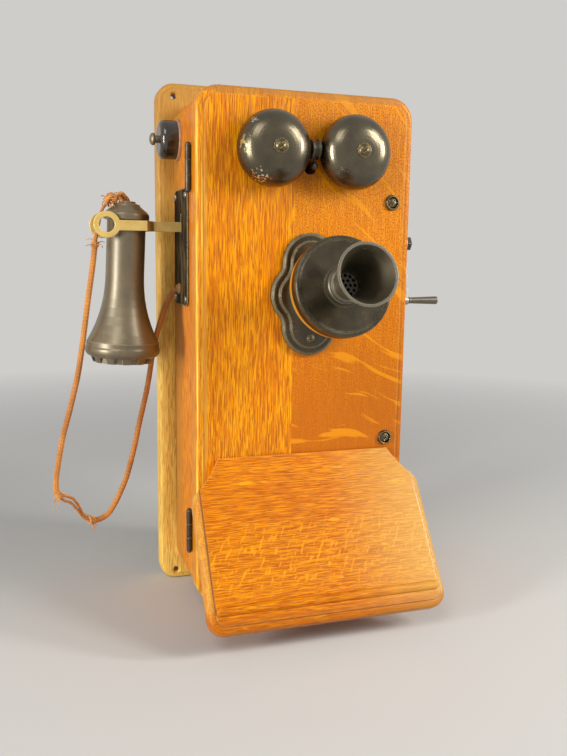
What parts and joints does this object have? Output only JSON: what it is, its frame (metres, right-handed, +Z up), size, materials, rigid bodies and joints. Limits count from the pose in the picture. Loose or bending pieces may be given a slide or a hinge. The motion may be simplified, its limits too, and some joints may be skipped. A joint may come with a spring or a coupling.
{
  "type": "crank telephone",
  "caption": "Wooden wall telephone with a hand crank, a receiver hung on a switch hook, gongs and a tilting transmitter on a hinged door, and a sloping writing shelf.",
  "frame": {"origin": "middle of the four wall screws, on the back board's rear face", "axes": "+X to the right as seen from the front, +Y into the wall, +Z up; the front faces -Y"},
  "size_m": [0.3661, 0.2436, 0.476],
  "materials": {
    "oak_back": "satin varnish, worn pale",
    "oak_case": "satin varnish",
    "oak_door": "glossy varnish",
    "oak_shelf": "glossy varnish",
    "plain_wood": "unvarnished",
    "pink_ring": "painted, worn",
    "black_japan": "glossy black japan",
    "gong_black": "satin black, chipped",
    "dark_steel": "dark and worn",
    "steel": "plain",
    "iron": "dark",
    "brass": "dull",
    "worn_brass": "worn and dark",
    "pale_brass": "worn nickel over brass",
    "hard_rubber": "polished",
    "ebonite": "aged and dull",
    "fibre": "plain",
    "braid": "braided",
    "coil_wrap": "wrapped",
    "magnet_paint": "dull",
    "tinplate": "plain"
  },
  "bodies": {
    "case": {"back_board": "oak_back", "case_left_side": "oak_case", "case_right_side": "oak_case", "case_top": "oak_case", "case_bottom": "oak_case", "closing_blocks": "plain_wood", "hinge_case_leaves": "dark_steel", "hinge_pins": "dark_steel", "hook_plate": "black_japan", "hook_plate_screws": "steel", "hook_bracket": "brass", "hook_pivot_pin": "steel", "switch_springs": "brass", "button_base": "pink_ring", "button_housing": "hard_rubber", "cord_bushing": "fibre", "receiver_cord": "braid", "crank_bushing": "brass", "pole_pieces": "iron", "generator_magnets": "magnet_paint", "generator_end_plates": "brass", "generator_base": "plain_wood", "induction_coil": "coil_wrap", "condenser": "tinplate", "terminal_strip": "plain_wood", "terminal_screws": "brass"},
    "door": {"door_panel": "oak_door", "hinge_door_leaves": "dark_steel", "door_screws": "worn_brass", "shelf_board": "oak_shelf", "shelf_ledge": "oak_shelf", "shelf_brackets": "oak_shelf", "gongs": "gong_black", "gong_posts": "steel", "gong_screws": "worn_brass", "ringer_frame": "iron", "ringer_coils": "coil_wrap", "ringer_magnet": "magnet_paint", "clapper_pivot_pin": "steel", "transmitter_base": "black_japan", "transmitter_base_screws": "black_japan", "transmitter_pivot_screw": "dark_steel"},
    "clapper": {"clapper_armature": "iron", "clapper_rod": "dark_steel"},
    "transmitter": {"transmitter_cup": "brass", "transmitter_face": "black_japan", "mouthpiece": "hard_rubber"},
    "crank": {"crank_shaft": "steel", "crank_arm": "steel", "crank_nut": "steel", "drive_gear": "brass"},
    "grip": {"crank_grip": "hard_rubber"},
    "armature": {"armature": "iron", "pinion": "steel"},
    "hook": {"hook_lever": "pale_brass"},
    "receiver": {"receiver_shell": "ebonite", "receiver_ear_cap": "ebonite", "receiver_diaphragm": "steel", "receiver_magnet": "iron"},
    "button": {"push_button": "brass"}
  },
  "joints": [
    {"name": "door_swing", "type": "hinge", "parent": "case", "child": "door", "pos_m": [-0.1006, -0.0936, 0], "axis": [0, 0, -1], "range_deg": [0, 90]},
    {"name": "clapper_swing", "type": "hinge", "parent": "door", "child": "clapper", "pos_m": [0.0013, -0.08, 0.1479], "axis": [0, 1, 0], "range_deg": [-2, 2], "stiffness_Nm_per_rad": 0.02},
    {"name": "transmitter_tilt", "type": "hinge", "parent": "door", "child": "transmitter", "pos_m": [0.00225, -0.138, 0.0495], "axis": [-1, 0, 0], "range_deg": [-25, 10]},
    {"name": "crank_turn", "type": "hinge", "parent": "case", "child": "crank", "pos_m": [0, -0.062, 0.0976], "axis": [1, 0, 0], "continuous": true},
    {"name": "armature_spin", "type": "hinge", "parent": "case", "child": "armature", "pos_m": [0, -0.062, 0.0706], "axis": [1, 0, 0], "continuous": true},
    {"name": "grip_spin", "type": "hinge", "parent": "crank", "child": "grip", "pos_m": [0.12, -0.0697, 0.04314], "axis": [1, 0, 0], "continuous": true},
    {"name": "receiver_lift", "type": "slide", "parent": "case", "child": "receiver", "axis": [-0.5, 0, 0.866], "range_m": [0, 0.11], "deforming": ["receiver_cord"]},
    {"name": "hook_rise", "type": "hinge", "parent": "case", "child": "hook", "pos_m": [-0.077, -0.056, 0.1085], "axis": [0, 1, 0], "range_deg": [0, 8.1]},
    {"name": "button_press", "type": "slide", "parent": "case", "child": "button", "axis": [1, 0, 0], "range_m": [0, 0.0025], "stiffness_N_per_m": 300}
  ],
  "couplings": [
    {"joint": "armature_spin", "follows": "crank_turn", "ratio": -3.5},
    {"joint": "hook_rise", "follows": "receiver_lift", "rad_per_m": 1.2693}
  ]
}
